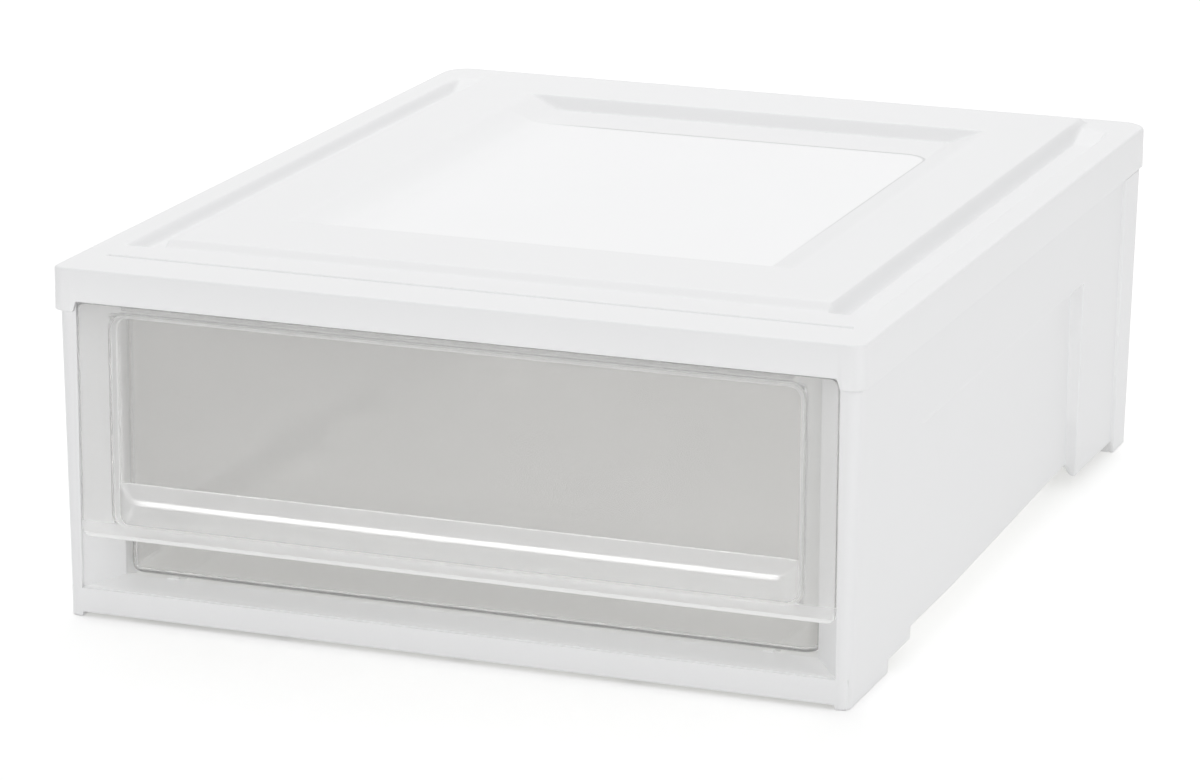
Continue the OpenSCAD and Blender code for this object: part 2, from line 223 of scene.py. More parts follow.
def buildMouldedGrain(look=grainLook):
    # height is pits times their depth plus slow waves times theirs; shade and roughness follow the sum of
    # pits and clouds less one, times a small amount
    group = bpy.data.node_groups.new("mouldedGrain", "ShaderNodeTree")
    for name in ("Grain Scale", "Grain Depth", "Wave Scale", "Wave Depth", "Mottle"):
        group.interface.new_socket(name, in_out="INPUT", socket_type="NodeSocketFloat")
    for name in ("Height", "Shade", "Rough"):
        group.interface.new_socket(name, in_out="OUTPUT", socket_type="NodeSocketFloat")
    add = nodeMaker(group)
    given = add("NodeGroupInput").outputs
    place = add("ShaderNodeTexCoord").outputs["Object"]

    def noise(scale, detail, roughness):
        inputs = {"Vector": place, "Scale": scale, "Detail": detail, "Roughness": roughness}
        return add("ShaderNodeTexNoise", inputs).outputs["Fac"]

    pits = noise(given["Grain Scale"], *look["pits"])
    waves = noise(given["Wave Scale"], *look["waves"])
    clouds = noise(look["cloudScale"], *look["clouds"])
    fine = compute(add, "MULTIPLY", pits, given["Grain Depth"])
    slow = compute(add, "MULTIPLY", waves, given["Wave Depth"])
    centred = compute(add, "SUBTRACT", compute(add, "ADD", clouds, pits), 1.0)
    add("NodeGroupOutput", {
        "Height": compute(add, "ADD", fine, slow),
        "Shade": compute(add, "MULTIPLY_ADD", centred, given["Mottle"], 1.0),
        "Rough": compute(add, "MULTIPLY", centred, look["roughSpread"]),
    })
    return group


mouldedGrain = buildMouldedGrain()


def addGrain(add, look):
    # the grain's shade and roughness, and the normal bumped by its height
    inputs = {
        "Grain Scale": look["grainScale"], "Grain Depth": look["grainDepth"],
        "Wave Scale": look["waveScale"], "Wave Depth": look["waveDepth"], "Mottle": look["mottle"],
    }
    grain = add("ShaderNodeGroup", inputs, node_tree=mouldedGrain).outputs
    bump = {"Height": grain["Height"], "Strength": look["bump"], "Distance": look["bumpDistance"]}
    return grain["Shade"], grain["Rough"], add("ShaderNodeBump", bump).outputs[0]


def letLampsThrough(add, shader, tint):
    # shadow rays pass through the plastic, tinted, and every other ray meets it
    passing = add("ShaderNodeBsdfTransparent", {"Color": tint})
    lamp = add("ShaderNodeLightPath").outputs["Is Shadow Ray"]
    mixed = add("ShaderNodeMixShader", {0: lamp, 1: shader.outputs[0], 2: passing.outputs[0]})
    add("ShaderNodeOutputMaterial", {"Surface": mixed.outputs[0]})


whiteShell = dict(
    colour=(0.86, 0.862, 0.868), roughness=0.46, ior=1.49, grainScale=1100.0, grainDepth=0.35, waveScale=26.0,
    waveDepth=0.25, bump=0.12, bumpDistance=0.0006, mottle=0.03, edgeFrom=0.5, edgeTo=0.62, edgeLift=0.05,
    # the polished floor's colour lift is a painted sheen, and the darkening along its edge is painted shade
    polishRough=-0.06, paintedPolishSheen=0.07, paintedStepShade=-0.32,
    lampTint=(0.93, 0.93, 0.92), thinHalf=0.1979, thinLength=0.2435,  # in metres: lamps pass inside these
)


def buildWhiteShell(look=whiteShell):
    # colour times a shade: the mottle, more on sharp edges, a painted sheen on the polished floor
    # and painted shade along the step at its edge
    material, add = newMaterial("whiteShell")
    shade, rough, normal = addGrain(add, look)
    edges = {
        "Value": add("ShaderNodeNewGeometry").outputs["Pointiness"], "From Min": look["edgeFrom"],
        "From Max": look["edgeTo"], "To Min": 0.0, "To Max": look["edgeLift"],
    }
    polishAndSheen = add("ShaderNodeAttribute", attribute_name="polishAndSheen").outputs["Fac"]
    stepShade = add("ShaderNodeAttribute", attribute_name="stepShade").outputs["Fac"]
    shade = compute(add, "ADD", shade, add("ShaderNodeMapRange", edges).outputs[0])
    # painted sheen: the polished floor's colour is lightened where it is also less rough
    shade = compute(add, "MULTIPLY_ADD", polishAndSheen, look["paintedPolishSheen"], shade)
    # painted shade: darker along the step at the polished floor's right and rear edges
    shade = compute(add, "MULTIPLY_ADD", stepShade, look["paintedStepShade"], shade)
    rough = compute(add, "ADD", rough, look["roughness"], clamp=True)
    rough = compute(add, "MULTIPLY_ADD", polishAndSheen, look["polishRough"], rough, clamp=True)
    colour = scaledColour(add, look["colour"], shade)
    surface = {"Base Color": colour, "Roughness": rough, "Normal": normal, "IOR": look["ior"]}
    shader = add("ShaderNodeBsdfPrincipled", surface)
    place = add("ShaderNodeSeparateXYZ", {0: add("ShaderNodeTexCoord").outputs["Object"]}).outputs
    sideways = compute(add, "COMPARE", place["X"], 0.0, look["thinHalf"])
    lengthways = compute(add, "COMPARE", place["Y"], 0.0, look["thinLength"])
    thin = compute(add, "MULTIPLY", sideways, lengthways)
    letLampsThrough(add, shader, scaledColour(add, look["lampTint"], thin))
    return material


clearPlastic = dict(
    ior=1.57, grainScale=700.0, grainDepth=0.02, waveScale=18.0, waveDepth=0.8, bump=0.08,
    bumpDistance=0.0006, mottle=0.03, lampTint=(0.985, 0.985, 0.98, 1.0),
    parts=dict(  # how much light goes straight through, roughness, tint
        pane=(0.87, 0.1, (0.975, 0.97, 0.964)),
        frame=(0.78, 0.14, (0.945, 0.944, 0.942)),
        grip=(0.66, 0.1, (0.955, 0.954, 0.952)),
        lip=(0.15, 0.2, (0.93, 0.93, 0.928)),
        tub=(0.93, 0.12, (0.978, 0.974, 0.968)),
        edge=(0.4, 0.34, (0.92, 0.92, 0.918)),
        low=(0.62, 0.5, (0.93, 0.93, 0.928)),
    ),
)
finishOf = {part: place for place, part in enumerate(clearPlastic["parts"])}


def buildClearPlastic(part, look=clearPlastic):
    # the part's tint times the mottle, with the part's own haze
    material, add = newMaterial(part + "Plastic")
    straight, roughness, tint = look["parts"][part]
    shade, rough, normal = addGrain(add, look)
    surface = {
        "Base Color": scaledColour(add, tint, shade), "Normal": normal, "IOR": look["ior"],
        "Roughness": compute(add, "ADD", rough, roughness, clamp=True), "Transmission Weight": straight,
    }
    letLampsThrough(add, add("ShaderNodeBsdfPrincipled", surface), look["lampTint"])
    return material


shellFinish = buildWhiteShell()
clearFinishes = [buildClearPlastic(part) for part in clearPlastic["parts"]]
print("finishes built")


topPanel = dict(
    halfWidth=200.0, halfDepth=249.0, rim=171.0, sheet=2.2, frontRadius=6.0, rearRadius=15.0, edgeRound=1.5,
    skirt=21.0, skirtFront=16.0, skirtWall=2.0, footRound=0.4, notchHalf=188.2,
    # pairs are the run and the ease of a ramp
    fieldHalf=168.7, fieldFront=-195.0, fieldBack=239.0, fieldRise=3.1, fieldEnd=(5.5, 0.9),
    wallOut=0.3, wall=(2.6, 1.2),
    channelOuter=185.0, channelFront=-197.0, channelEase=0.5, channelFlat=205.0, channelRamp=(17.0, 1.6),
    channelDepth=5.5,
    trayHalf=128.0, trayFront=-135.0, trayBack=184.0, trayDepth=7.0, traySide=18.0, trayEnd=4.4,
    trayMitre=0.006, trayClimb=(1.0, 0.14),
    grooveY=-220.4, grooveWidth=3.2, grooveDepth=1.1, grooveFront=(0.9, 0.2), grooveBack=(0.5, 0.15),
    grooveEnd=(0.5, 0.2),
    polishCentre=-12.0, polishHalf=122.0, polishFront=-126.0, polishBack=146.0, polishRadius=14.0,
    polishDepth=0.3, polishIn=0.6, polishWall=(0.8, 0.3), polishFade=(-128.0, -92.0),
    # painted shade along the polished floor's step: where its band lies, how wide it is and where it fades
    stepShadeIn=0.1, stepShadeWidth=0.7, stepShadeFadeX=(-108.0, -78.0), stepShadeFadeY=(-100.0, 20.0), markedAbove=160.0,
    # the grid's lines: where each stretch ends and how many steps lead there
    rightColumns=((96, 7), (107, 22), (112, 12)), leftColumns=((96, 7), (112, 4)),
    outerColumns=(
        (126, 6), (130, 7), (165.2, 7), (170.4, 22), (181.2, 5), (186.6, 18), (187.9, 2), (188.5, 2),
        (198.5, 5),
    ),
    keptColumn=168.0,
    middleRows=(
        (-220.8, 5), (-216.4, 24), (-199, 5), (-195.8, 14), (-188, 16), (-137.5, 8), (-127, 18), (131, 18),
        (143.5, 22), (148.5, 14), (176.5, 6), (187, 22), (203, 4), (224.5, 14), (231, 3), (240.6, 16),
    ),
)


def roundBoxReach(x, y, half, front, back, radius):
    # how far a point lies outside a rectangle with rounded corners: its distance from the box of the corners'
    # centres, less the radius
    px = np.maximum(np.abs(x) - (half - radius), 0)
    py = np.maximum(np.abs(y - (front + back) / 2) - ((back - front) / 2 - radius), 0)
    return np.hypot(px, py) - radius


def polishReach(x, y, size=topPanel):
    # how far a point lies outside the polished floor of the tray
    box = [size[k] for k in ("polishHalf", "polishFront", "polishBack", "polishRadius")]
    return roundBoxReach(x - size["polishCentre"], y, *box)


def polishAndSheenShare(x, y, size=topPanel):
    # 1 on the polished floor, fading out to its left: less rough there, and lightened in colour as a painted
    # sheen
    return (polishReach(x, y) < 0) * fade(x, *size["polishFade"])


def stepShadeShare(x, y, size=topPanel):
    # painted shade: a narrow bell across the polished floor's edge, e to the minus reach over width squared,
    # times fades that leave the right and rear edges, darkening the colour along the step
    across = np.exp(-(((polishReach(x, y) + size["stepShadeIn"]) / size["stepShadeWidth"]) ** 2))
    return across * fade(x, *size["stepShadeFadeX"]) * fade(y, *size["stepShadeFadeY"])


def panelHeight(x, y, grow=0.0, size=topPanel):
    # rim level, plus the field's rise inside its walls, less the channels', the tray's, the polished floor's
    # and the groove's depths; grow widens what is sunk, for the underside, which has no polish and no groove
    ax = np.abs(x)
    inField = easedRamp(size["fieldHalf"] - grow + size["wallOut"] - ax, *size["wall"])
    pastFront = easedRamp(y - size["fieldFront"] - grow, *size["fieldEnd"])
    beforeBack = easedRamp(size["fieldBack"] - grow - y, *size["fieldEnd"])
    height = size["rim"] + size["fieldRise"] * inField * pastFront * beforeBack

    inOuter = easedRamp(size["channelOuter"] + grow + size["wallOut"] - ax, *size["wall"])
    pastFront = softStep(y, size["channelFront"] - grow, size["channelEase"])
    beforeBack = easedRamp(size["channelFlat"] + size["channelRamp"][0] + grow - y, *size["channelRamp"])
    height = height - size["channelDepth"] * (1 - inField) * inOuter * pastFront * beforeBack

    # the tray's slopes climb as a share of their run, and the higher share counts, which mitres the corners
    middle, length = (size["trayFront"] + size["trayBack"]) / 2, (size["trayBack"] - size["trayFront"]) / 2
    across = (ax - size["trayHalf"] - grow) / size["traySide"] + 1
    endwise = (np.abs(y - middle) - length - grow) / size["trayEnd"] + 1
    climb = higher(across, endwise, size["trayMitre"])
    height = height - size["trayDepth"] * (1 - easedRamp(climb, *size["trayClimb"]))
    if grow:
        return height

    polished = 1 - easedRamp(polishReach(x, y) + size["polishIn"], *size["polishWall"])
    groove = easedRamp(y - size["grooveY"], *size["grooveFront"])
    groove = groove * easedRamp(size["grooveY"] + size["grooveWidth"] - y, *size["grooveBack"])
    groove = groove * easedRamp(size["channelOuter"] - ax, *size["grooveEnd"])
    height = height - size["polishDepth"] * polished * fade(x, *size["polishFade"])
    return height - size["grooveDepth"] * groove


def panelGrid(inset, size=topPanel):
    # plan positions in rows and columns, whose outer columns are drawn in to follow the rounded corners
    right = stations(0, *size["rightColumns"], *size["outerColumns"])
    left = stations(0, *size["leftColumns"], *size["outerColumns"])
    columns = np.concatenate([-left[:0:-1], right])
    frontCentre, rearCentre = size["frontRadius"] - size["halfDepth"], size["halfDepth"] - size["rearRadius"]
    frontRound, rearRound = size["frontRadius"] - inset, size["rearRadius"] - inset
    front = frontCentre - frontRound * np.sin(quarterArc(6)[::-1])
    middle = stations(front[-1], *size["middleRows"])
    start = math.asin((middle[-1] - rearCentre) / rearRound)
    rear = rearCentre + rearRound * np.sin(np.linspace(start, math.pi / 2, 8)[1:])
    rows = np.concatenate([front, middle[1:], rear])
    past = np.maximum(np.maximum(frontCentre - rows, rows - rearCentre), 0)
    radius = np.where(rows < 0, frontRound, rearRound)
    limit = size["halfWidth"] - inset - radius + np.sqrt(np.maximum(radius ** 2 - past ** 2, 0))
    x = np.sign(columns) * stretched(np.abs(columns), size["keptColumn"], right[-1], limit[:, None])
    return x, np.broadcast_to(rows[:, None], x.shape)


def outwardOf(x, y, size=topPanel):
    # the direction out of the plan at its edge: away from the nearest place between the corners' centres
    frontCentre, rearCentre = size["frontRadius"] - size["halfDepth"], size["halfDepth"] - size["rearRadius"]
    radius = np.where(y < 0, size["frontRadius"], size["rearRadius"])
    cx = np.clip(x, radius - size["halfWidth"], size["halfWidth"] - radius)
    cy = np.clip(y, frontCentre, rearCentre)
    away = np.stack([x - cx, y - cy], -1)
    return away / np.maximum(np.linalg.norm(away, axis=-1, keepdims=True), 1e-9)


def buildTopPanel(size=topPanel):
    # the sheet's upper face and underside, joined by the rounded edge, the skirt and the skirt's rounded foot
    x, y = panelGrid(size["edgeRound"])
    top = np.stack([x, y, panelHeight(x, y)], -1)
    xi, yi = panelGrid(size["skirtWall"])
    under = np.stack([xi, yi, panelHeight(xi, yi, size["sheet"]) - size["sheet"]], -1)
    edge = top.reshape(-1, 3)[rimOf(numbered(*x.shape))]
    out = outwardOf(edge[:, 0], edge[:, 1])
    facingFront = (edge[:, 1] < 0) & (np.abs(out[:, 0]) < 0.01)
    overDrawer = facingFront & (np.abs(edge[:, 0]) < size["notchHalf"])
    foot = size["rim"] - np.where(overDrawer, size["skirtFront"], size["skirt"])
    bend, ease = size["edgeRound"], size["footRound"]
    inner = bend - size["skirtWall"]
    rim = np.full(len(edge), size["rim"])
    steps = [(bend * math.sin(a), rim - bend * (1 - math.cos(a))) for a in quarterArc(7)[1:]]
    steps += [(bend - ease * (1 - math.cos(a)), foot + ease * (1 - math.sin(a))) for a in quarterArc(4)]
    steps += [(inner + ease, foot), (inner, foot + ease)]
    return closedSkin(top, under, [np.column_stack([edge[:, :2] + out * reach, z]) for reach, z in steps])


clips = dict(
    y=(-120.0, 0.0, 120.0), half=10.0, face=190.7, thick=2.2, foot=151.8, reach=1.4, slope=2.2, nose=3.0,
    top=169.5, finX=(171.2, 173.4), finY=(-191.0, 58.0), finZ=(154.5, 164.6),
)


def buildClips(size=clips):
    # snap hooks along both sides, and the fins that hold the drawer down, each a section carried along Y
    inner, outer = size["face"], size["face"] + size["thick"]
    tip, foot, nose = outer + size["reach"], size["foot"], size["foot"] + size["nose"]
    hook = [
        (inner, foot), (outer, foot), (tip, foot + size["slope"]), (tip, nose), (outer, nose),
        (outer, size["top"]), (inner, size["top"]),
    ]
    (x0, x1), (z0, z1) = size["finX"], size["finZ"]
    fin = [(x0, z0), (x1, z0), (x1, z1), (x0, z1)]
    runs = [(hook, y - size["half"], y + size["half"]) for y in size["y"]] + [(fin, *size["finY"])]
    shapes = []
    for section, start, end in runs:
        mirrored = [(-x, z) for x, z in section[::-1]]
        shapes += [prism(section, start, end), prism(mirrored, start, end)]
    return shapes


panelShapes = [(*buildTopPanel(), True)] + [(*shape, False) for shape in buildClips()]
panelPoints, panelFaces, panelFlags = joinShapes(panelShapes)
panelPiece = makePiece("topPanel", panelPoints, panelFaces, panelFlags, shellFinish, "case", "shell")
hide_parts("top_panel")
# points carry the polished floor's share, for its lower roughness and its painted sheen, and the share of
# painted shade along its step
for name, share in (("polishAndSheen", polishAndSheenShare), ("stepShade", stepShadeShare)):
    x, y, z = panelPoints.T
    marks = panelPiece.data.attributes.new(name, "FLOAT", "POINT")
    marks.data.foreach_set("value", (share(x, y) * (z > topPanel["markedAbove"])).astype(np.float32))
print("top panel:", len(panelFaces), "faces")


caseBody = dict(
    half=197.8, front=-246.8, back=243.0, top=168.8, wall=2.4, sideLean=2.8, backLean=5.0, edgeRound=0.45,
    frontRadius=5.0, rearRadius=12.0, openEdge=188.7, openFoot=13.5, openRound=0.5,
    insetStart=-150.0, insetEnd=135.0, insetDepth=7.0, insetTop=109.0, insetSpread=0.02, insetRamp=(4.0, 1.5),
    insetEase=0.5, pillarStart=206.0, pillarStep=1.9, pillarTop=149.7, pillarEase=0.4, pillarCap=(0.5, 0.25),
    steps=((-188.0, 6.0), (-154.0, 12.0), (135.0, 6.0), (206.0, 0.0)), stepEase=0.25,  # where and how high
    railFoot=2.0, railHalf=188.2, railEase=0.2, backFoot=6.0, footHalf=174.0,
    # the walls' grid: where each stretch ends and how many steps lead there
    frontColumns=((187.4, 6), (188.7, 4), (189.3, 2), (192.8, 3)), keptFront=189.3,
    sideColumns=(
        (-189.2, 4), (-186.8, 6), (-155.2, 4), (-152.8, 6), (-144, 4), (133.6, 24), (136.4, 18), (204.6, 6),
        (207.5, 14), (231, 4),
    ),
    keptSide=207.5, backColumns=((175.4, 3), (172.6, 8), (0, 10)),
    belowOpening=(0, 0.3, 0.65), wallRows=((106.6, 14), (111.0, 14), (148.8, 5), (150.4, 8)),
    # shoulders beside the drawer: their section where it stands on the floor
    shoulder=(
        (188.35, -244.7, 13.85), (174.35, -228.35, 16.94), (174.05, -227.9, 17.0), (174.0, -227.4, 17.0),
        (174.0, -225.6, 17.0), (176.4, -225.6, 14.5), (190.2, -241.6, 12.3), (190.2, -245.2, 12.3),
    ),
    shoulderTop=168.7, mitreRun=3.0,
    floorSide=(
        (194.0, -245.6), (194.0, -84.0), (188.6, 134.4), (194.0, 136.2), (194.0, 228.0), (188.0, 237.0),
    ),
    floorZ=(12.0, 14.4),
    # bars of the right side, which stand on the left too, as their limits along x, y and z
    guide=(174.02, 176.4, -226.6, 228.6, 12.1, 40.0), runnerRib=(147.4, 152.4, -228.0, 228.6, 12.1, 17.4),
    frontPad=(188.0, 194.0, -245.4, -188.0, 0.0, 14.3), rearPad=(188.0, 194.0, 206.0, 232.0, 0.0, 14.3),
    keel=(169.5, 171.9, -198.1, 236.8, 1.0, 12.2), floorRib=(85.5, 87.9, -245.6, 236.8, 6.0, 12.2),
    lug=(193.3, 196.4, -12.0, 12.0, 155.2, 157.6), lugY=(-120.0, 0.0, 120.0),
    midRib=(-1.2, 1.2, -245.6, 236.8, 6.0, 12.2), crossKeel=(-171.9, 171.9, -198.2, -195.8, 1.0, 12.2),
)


def sideInset(y, z, size=caseBody):
    # a wedge that deepens to the back, less what the leaning wall has already gone in, and never below zero;
    # it fades in at the front and ends at the ledge and at the rear
    lean = size["sideLean"] * (size["insetTop"] - z) / size["top"]
    depth = size["insetDepth"] * fade(y, size["insetStart"], size["insetEnd"]) - lean
    depth = higher(depth, 0, size["insetSpread"]) * easedRamp(y - size["insetStart"], *size["insetRamp"])
    below = 1 - softStep(z, size["insetTop"], size["insetEase"])
    return depth * below * (1 - softStep(y, size["insetEnd"], size["insetEase"]))


def pillarOut(y, z, size=caseBody):
    # the rear pillar's step, behind its start and below its top
    behind = softStep(y, size["pillarStart"], size["pillarEase"])
    return size["pillarStep"] * behind * easedRamp(size["pillarTop"] - z, *size["pillarCap"])


def caseWalk(size=caseBody):
    # the walk round the right half: front, front corner, side, rear corner, back, as kinds 0 to 4, with a
    # place along each: x on the front and back, y on the side and degrees on the corners
    places = [
        stations(0, *size["frontColumns"]),
        np.linspace(0, 90, 8)[1:],
        stations(size["front"] + size["frontRadius"], *size["sideColumns"])[1:],
        np.linspace(0, 90, 10)[1:],
        stations(size["half"] - size["rearRadius"], *size["backColumns"])[1:],
    ]
    kinds = np.concatenate([np.full(len(p), kind) for kind, p in enumerate(places)])
    return kinds, np.concatenate(places)


def casePoint(kind, place, z, inset, size=caseBody):
    # a point of the right half's face at height z, drawn in by inset: the walls lean in towards the ground,
    # and the corners are arcs round centres that lean with them
    lean = 1 - z / size["top"]
    half = size["half"] - size["sideLean"] * lean
    back = size["back"] - size["backLean"] * lean
    frontRound, rearRound = size["frontRadius"], size["rearRadius"]
    frontX, frontY = half - frontRound, size["front"] + frontRound
    rearX, rearY = half + pillarOut(size["back"], z) - rearRound, back - rearRound
    turn = np.radians(place)
    x = np.choose(kind, [
        stretched(place, size["keptFront"], size["half"] - frontRound, frontX),
        frontX + (frontRound - inset) * np.sin(turn),
        half - inset + pillarOut(place, z) - sideInset(place, z),
        rearX + (rearRound - inset) * np.cos(turn),
        place * rearX / (size["half"] - rearRound),
    ])
    y = np.choose(kind, [
        np.full_like(z, size["front"] + inset),
        frontY - (frontRound - inset) * np.cos(turn),
        stretched(place, size["keptSide"], size["back"] - rearRound, rearY),
        rearY + (rearRound - inset) * np.sin(turn),
        back - inset,
    ])
    return x, y


def footLevel(kind, place, size=caseBody):
    # height of the lower edge along the walk: on the side each step adds its rise, on the front and back the
    # foot is raised between the corners
    level, before = np.zeros_like(place), 0.0
    for at, height in size["steps"]:
        level = level + (height - before) * softStep(place, at, size["stepEase"])
        before = height
    front = size["railFoot"] * (1 - softStep(place, size["railHalf"], size["railEase"]))
    back = size["backFoot"] * (1 - softStep(place, size["footHalf"], size["stepEase"]))
    return np.choose(kind, [front, 0 * level, level, 0 * level, back])


def buildCaseWalls(size=caseBody):
    # inner face down, lower edge, outer face up: a skin closed both ways, with the opening left out and edged
    kind, place = caseWalk()
    foot = footLevel(kind, place)
    ease, wall, low = size["edgeRound"], size["wall"], size["openFoot"]
    rising = [foot + ease + (low - foot - ease) * share for share in size["belowOpening"]]
    rising += [np.full(len(kind), z) for z in stations(low, *size["wallRows"], (size["top"], 3))]
    layers = [(z, wall) for z in rising[::-1]]
    layers += [(foot + ease * (1 - math.sin(a)), wall - ease * (1 - math.cos(a))) for a in quarterArc(5)[1:]]
    layers += [(foot + ease * (1 - math.cos(a)), ease * (1 - math.sin(a))) for a in quarterArc(5)[:-1]]
    layers += [(z, 0.0) for z in rising]
    grid = []
    for z, inset in layers:
        right = np.column_stack([*casePoint(kind, place, z, inset), z])
        grid.append(np.concatenate([right, right[-2:0:-1] * [-1, 1, 1]]))
    grid = np.array(grid)
    rows, columns = grid.shape[:2]
    index = numbered(rows, columns)

    # the opening is left out: every quad of the front above the rail and between the posts
    edge = int(np.argmin(np.abs(place[kind == 0] - size["openEdge"])))
    innerRail = len(rising) - 1 - len(size["belowOpening"])
    outerRail = rows - 1 - innerRail
    above, between = np.zeros(rows, bool), np.zeros(columns, bool)
    above[:innerRail] = above[outerRail:] = True
    between[:edge] = between[columns - edge :] = True
    keep = ~(above[:, None] & between)
    faces = gridQuads(wrapped(wrapped(index, 0), 1))[keep.ravel()].tolist()

    # its rounded edge, from outer to inner face: down the right post, along the rail, up the left post
    rail = np.concatenate([np.arange(edge - 1, 0, -1), [0], np.arange(columns - 1, columns - edge, -1)])

    def border(upwards):
        return np.concatenate([index[upwards[::-1], edge], index[upwards[0], rail], index[upwards, -edge]])

    outerEdge, innerEdge = border(np.arange(outerRail, rows)), border(np.arange(innerRail, -1, -1))
    points = grid.reshape(-1, 3)
    start, posts = points[outerEdge], rows - outerRail
    into = np.zeros((len(outerEdge), 3))
    into[:posts, 0], into[-posts:, 0] = -1, 1
    into[posts - 1 : len(outerEdge) - posts + 1, 2] = 1
    bend, arc = size["openRound"], quarterArc(5)
    rings = [start + into * bend * math.sin(a) + [0, bend * (1 - math.cos(a)), 0] for a in arc[1:]]
    rings += [start + into * bend * math.sin(a) + [0, wall - bend * (1 - math.cos(a)), 0] for a in arc[:0:-1]]
    middle = numbered(len(rings), len(outerEdge), len(points))
    strip = np.concatenate([[outerEdge], middle, [innerEdge]])
    faces += gridQuads(strip, flip=True).tolist() + [strip[::-1, 0].tolist(), strip[:, -1].tolist()]
    return np.concatenate([points, *rings]), faces


def buildShoulders(size=caseBody):
    # slanting shoulders beside the drawer and the sill under it: one section down, across and up, mitred
    lines, run = [], size["mitreRun"]
    for x, y, z in size["shoulder"]:
        down = stations(size["shoulderTop"], (z + run, 4), (z, 1))
        across = stations(x, (x - run, 1), (run - x, 6), (-x, 1))[1:-1]
        right = np.column_stack([np.full(len(down), x), np.full(len(down), y), down])
        middle = np.column_stack([across, np.full(len(across), y), np.full(len(across), z)])
        lines.append(np.concatenate([right, middle, right[::-1] * [-1, 1, 1]]))
    grid = np.array(lines)
    index = numbered(*grid.shape[:2])
    faces = gridQuads(wrapped(index, 0).T).tolist() + [index[::-1, 0].tolist(), index[:, -1].tolist()]
    return grid.reshape(-1, 3), faces


def buildInside(size=caseBody):
    # floor, runner guides and ribs, bearing pads, keels, ribs under the floor and lugs for the hooks
    side = list(size["floorSide"])
    shapes = [plate(side + [(-x, y) for x, y in side[::-1]], *size["floorZ"])]
    bars = [size[name] for name in ("guide", "runnerRib", "frontPad", "rearPad", "keel", "floorRib")]
    x0, x1, y0, y1, *lugZ = size["lug"]
    bars += [(x0, x1, y + y0, y + y1, *lugZ) for y in size["lugY"]]
    shapes += [bar(*limits) for limits in bars]
    shapes += [bar(-x1, -x0, *rest) for x0, x1, *rest in bars]
    return shapes + [bar(*size["midRib"]), bar(*size["crossKeel"])]


caseShapes = [(*buildCaseWalls(), True), (*buildShoulders(), False)]
caseShapes += [(*shape, False) for shape in buildInside()]
casePoints, caseFaces, caseFlags = joinShapes(caseShapes)
casePiece = makePiece("caseBody", casePoints, caseFaces, caseFlags, shellFinish, "case", "shell")
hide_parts("case_body")
print("case:", len(caseFaces), "faces")


clearDrawer = dict(
    face=-246.5, wall=2.2, half=187.5, low=40.0, high=154.0, corner=4.0, edgeRound=0.4, lip=42.1,
    paneHalf=170.0, paneLow=46.6, paneHigh=148.7, paneRadius=6.0, paneDepth=3.5, paneIn=0.65,
    paneWall=(0.75, 0.25),  # run and ease of a ramp
    gripLift=3.1, gripFall=0.8, gripCrease=57.5, gripTop=67.5, gripEnd=9.0, gripFootEase=0.2,
    facetDrop=0.26, facetSlope=0.198, creaseSpread=0.0144, endSpread=0.16, footSpread=0.01,
    # how far outside the pane the finishes change, and the least height of the ridge
    frameFrom=-0.4, stepFrom=-0.95, stepTo=0.35, lowBand=1.0, ridgeFrom=0.12,
    # the front's grid: where each stretch ends and how many steps lead there
    columns=((150, 14), (158, 6), (166, 12), (169, 8), (170.6, 9), (171.4, 3), (172.6, 8), (187.5, 6)),
    keptColumn=150.0, rowGap=0.02, paneInset=0.3, lowRows=((44.7, 6), (45.6, 2)), lowSteps=8,
    paneRows=((48.4, 5), (49.2, 5), (53, 6), (56.4, 5), (59.8, 24), (66, 7), (68.4, 10)), paneSteps=12,
    highRows=((149.3, 8), (150.2, 2), (151.2, 8)),
    tubHalf=173.4, tubFront=-228.0, tubBack=228.6, tubLow=17.7, tubRadius=8.0, tubEdge=4.0, tubRim=0.4,
    tubLevels=(60.0, 110.0), floorSteps=(2.5, 1.0), bendBand=(0.1, 3.5), flangeHalf=165.4,
    flangeLap=0.2, flangeDrop=0.05, lugX=(173.2, 175.8), lugY=(134.7, 146.7), lugZ=(43.0, 49.0),
)


def paneReach(x, z, grow=0.0, size=clearDrawer):
    # how far a point of the front lies outside the sunken pane, grown by grow
    low, high, radius = size["paneLow"] - grow, size["paneHigh"] + grow, size["paneRadius"] + grow
    return roundBoxReach(x, z, size["paneHalf"] + grow, low, high, radius)


def gripLift(x, z, back=0.0, size=clearDrawer):
    # the ridge is the lowest of four slopes: from its upper line up to the crease, gently down below it, the
    # facet along the crease, and the ends, steeper below the crease; back draws it in for the rear face
    half, low, top = size["paneHalf"] - back, size["paneLow"] + back, size["gripTop"] - back / 2
    crease, lift = size["gripCrease"], size["gripLift"]
    upper = lift * (top - z) / (top - crease)
    under = lift - size["gripFall"] * (crease - z) / (crease - low)
    facet = lift - size["facetDrop"] - size["facetSlope"] * (z - crease)
    below = fade(-z, -crease, -low)
    slope = ((1 - below) * lift + below * 2 * (lift - size["gripFall"])) / size["gripEnd"]
    height = lower(lower(upper, under, size["creaseSpread"]), facet, size["creaseSpread"])
    height = lower(height, (half - np.abs(x)) * slope, size["endSpread"])
    height = higher(height, 0, size["footSpread"])
    return height * softStep(z, low, size["gripFootEase"]) if back else height


def faceDepth(x, z, size=clearDrawer):
    # front of the plate: the frame's level, sunk inside the pane by its depth less the grip
    sunk = 1 - easedRamp(paneReach(x, z) + size["paneIn"], *size["paneWall"])
    return size["face"] + sunk * (size["paneDepth"] - gripLift(x, z))


def backDepth(x, z, size=clearDrawer):
    # back of the plate: one wall behind the front everywhere, round the frame's step and into the grip
    wall = size["wall"]
    sunk = 1 - easedRamp(paneReach(x, z, wall) + size["paneIn"], *size["paneWall"])
    lifted = np.where(paneReach(x, z, -wall) < 0, gripLift(x, z, wall), 0)
    return size["face"] + wall + size["paneDepth"] * sunk - lifted


